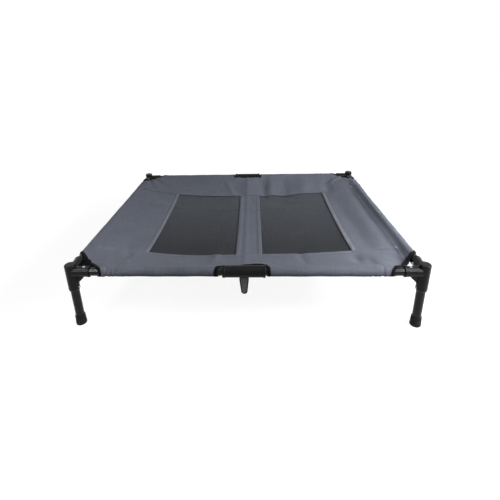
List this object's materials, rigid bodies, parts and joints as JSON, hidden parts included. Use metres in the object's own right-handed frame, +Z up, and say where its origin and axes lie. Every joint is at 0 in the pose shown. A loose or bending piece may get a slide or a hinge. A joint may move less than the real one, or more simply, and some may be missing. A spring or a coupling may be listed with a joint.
{
  "type": "raised dog cot",
  "caption": "Raised dog cot: steel tube frame with moulded corner connectors, legs with rubber feet and a cloth sling with mesh windows.",
  "frame": {"origin": "on the floor, under the centre of the cot", "axes": "+X along the long rails, +Y to the rear, +Z up"},
  "size_m": [0.915, 0.764, 0.1825],
  "materials": {
    "connector_plastic": "moulded, fine spark texture",
    "tube_paint": "black powder coat on steel tube",
    "foot_rubber": "moulded black rubber",
    "pad_grey": "soft grey grip pad",
    "button_zinc": "zinc plated",
    "spring_steel": "bare spring strip",
    "sling_cloth": "coated plain-weave oxford",
    "window_mesh": "coated open mesh",
    "binding_tape": "woven black tape"
  },
  "bodies": {
    "frame": {"corner_front_left": "connector_plastic", "corner_front_right": "connector_plastic", "corner_rear_left": "connector_plastic", "corner_rear_right": "connector_plastic", "leg_front_left": "tube_paint", "leg_front_right": "tube_paint", "leg_rear_left": "tube_paint", "leg_rear_right": "tube_paint", "foot_front_left": "foot_rubber", "foot_front_right": "foot_rubber", "foot_rear_left": "foot_rubber", "foot_rear_right": "foot_rubber", "long_rail_front_left": "tube_paint", "long_rail_front_right": "tube_paint", "long_rail_rear_left": "tube_paint", "long_rail_rear_right": "tube_paint", "short_rail_left": "tube_paint", "short_rail_right": "tube_paint", "coupling_front": "connector_plastic", "coupling_rear": "connector_plastic", "lever_pin_front": "button_zinc", "lever_pin_rear": "button_zinc", "button_springs": "spring_steel", "band_front": "sling_cloth", "band_rear": "sling_cloth", "panel_left": "sling_cloth", "panel_right": "sling_cloth", "centre_strip": "sling_cloth", "mesh_left": "window_mesh", "mesh_right": "window_mesh", "long_sleeve_front_left": "sling_cloth", "long_sleeve_front_right": "sling_cloth", "long_sleeve_rear_left": "sling_cloth", "long_sleeve_rear_right": "sling_cloth", "short_sleeve_left": "sling_cloth", "short_sleeve_right": "sling_cloth", "corner_binding_front_left": "binding_tape", "corner_binding_front_right": "binding_tape", "corner_binding_rear_left": "binding_tape", "corner_binding_rear_right": "binding_tape", "notch_binding_front": "binding_tape", "notch_binding_rear": "binding_tape"},
    "long_button_front_left": {"long_button_front_left": "button_zinc"},
    "short_button_front_left": {"short_button_front_left": "button_zinc"},
    "leg_button_front_left": {"leg_button_front_left": "button_zinc"},
    "long_button_front_right": {"long_button_front_right": "button_zinc"},
    "short_button_front_right": {"short_button_front_right": "button_zinc"},
    "leg_button_front_right": {"leg_button_front_right": "button_zinc"},
    "long_button_rear_left": {"long_button_rear_left": "button_zinc"},
    "short_button_rear_left": {"short_button_rear_left": "button_zinc"},
    "leg_button_rear_left": {"leg_button_rear_left": "button_zinc"},
    "long_button_rear_right": {"long_button_rear_right": "button_zinc"},
    "short_button_rear_right": {"short_button_rear_right": "button_zinc"},
    "leg_button_rear_right": {"leg_button_rear_right": "button_zinc"},
    "lever_front": {"lever_front": "connector_plastic", "lever_pad_front": "pad_grey"},
    "lever_rear": {"lever_rear": "connector_plastic", "lever_pad_rear": "pad_grey"}
  },
  "joints": [
    {"name": "long_button_front_left_press", "type": "slide", "parent": "frame", "child": "long_button_front_left", "axis": [0, 0, -1], "range_m": [0, 0.0041], "stiffness_N_per_m": 1500},
    {"name": "short_button_front_left_press", "type": "slide", "parent": "frame", "child": "short_button_front_left", "axis": [-1, 0, 0], "range_m": [0, 0.0041], "stiffness_N_per_m": 1500},
    {"name": "leg_button_front_left_press", "type": "slide", "parent": "frame", "child": "leg_button_front_left", "axis": [-1, 0, 0], "range_m": [0, 0.0046], "stiffness_N_per_m": 1500},
    {"name": "long_button_front_right_press", "type": "slide", "parent": "frame", "child": "long_button_front_right", "axis": [0, 0, -1], "range_m": [0, 0.0041], "stiffness_N_per_m": 1500},
    {"name": "short_button_front_right_press", "type": "slide", "parent": "frame", "child": "short_button_front_right", "axis": [1, 0, 0], "range_m": [0, 0.0041], "stiffness_N_per_m": 1500},
    {"name": "leg_button_front_right_press", "type": "slide", "parent": "frame", "child": "leg_button_front_right", "axis": [1, 0, 0], "range_m": [0, 0.0046], "stiffness_N_per_m": 1500},
    {"name": "long_button_rear_left_press", "type": "slide", "parent": "frame", "child": "long_button_rear_left", "axis": [0, 0, -1], "range_m": [0, 0.0041], "stiffness_N_per_m": 1500},
    {"name": "short_button_rear_left_press", "type": "slide", "parent": "frame", "child": "short_button_rear_left", "axis": [-1, 0, 0], "range_m": [0, 0.0041], "stiffness_N_per_m": 1500},
    {"name": "leg_button_rear_left_press", "type": "slide", "parent": "frame", "child": "leg_button_rear_left", "axis": [-1, 0, 0], "range_m": [0, 0.0046], "stiffness_N_per_m": 1500},
    {"name": "long_button_rear_right_press", "type": "slide", "parent": "frame", "child": "long_button_rear_right", "axis": [0, 0, -1], "range_m": [0, 0.0041], "stiffness_N_per_m": 1500},
    {"name": "short_button_rear_right_press", "type": "slide", "parent": "frame", "child": "short_button_rear_right", "axis": [1, 0, 0], "range_m": [0, 0.0041], "stiffness_N_per_m": 1500},
    {"name": "leg_button_rear_right_press", "type": "slide", "parent": "frame", "child": "leg_button_rear_right", "axis": [1, 0, 0], "range_m": [0, 0.0046], "stiffness_N_per_m": 1500},
    {"name": "lever_front_swing", "type": "hinge", "parent": "frame", "child": "lever_front", "pos_m": [0, -0.366, 0.1479], "axis": [-1, 0, 0], "range_deg": [0, 75]},
    {"name": "lever_rear_swing", "type": "hinge", "parent": "frame", "child": "lever_rear", "pos_m": [0, 0.366, 0.1479], "axis": [1, 0, 0], "range_deg": [0, 75]}
  ]
}
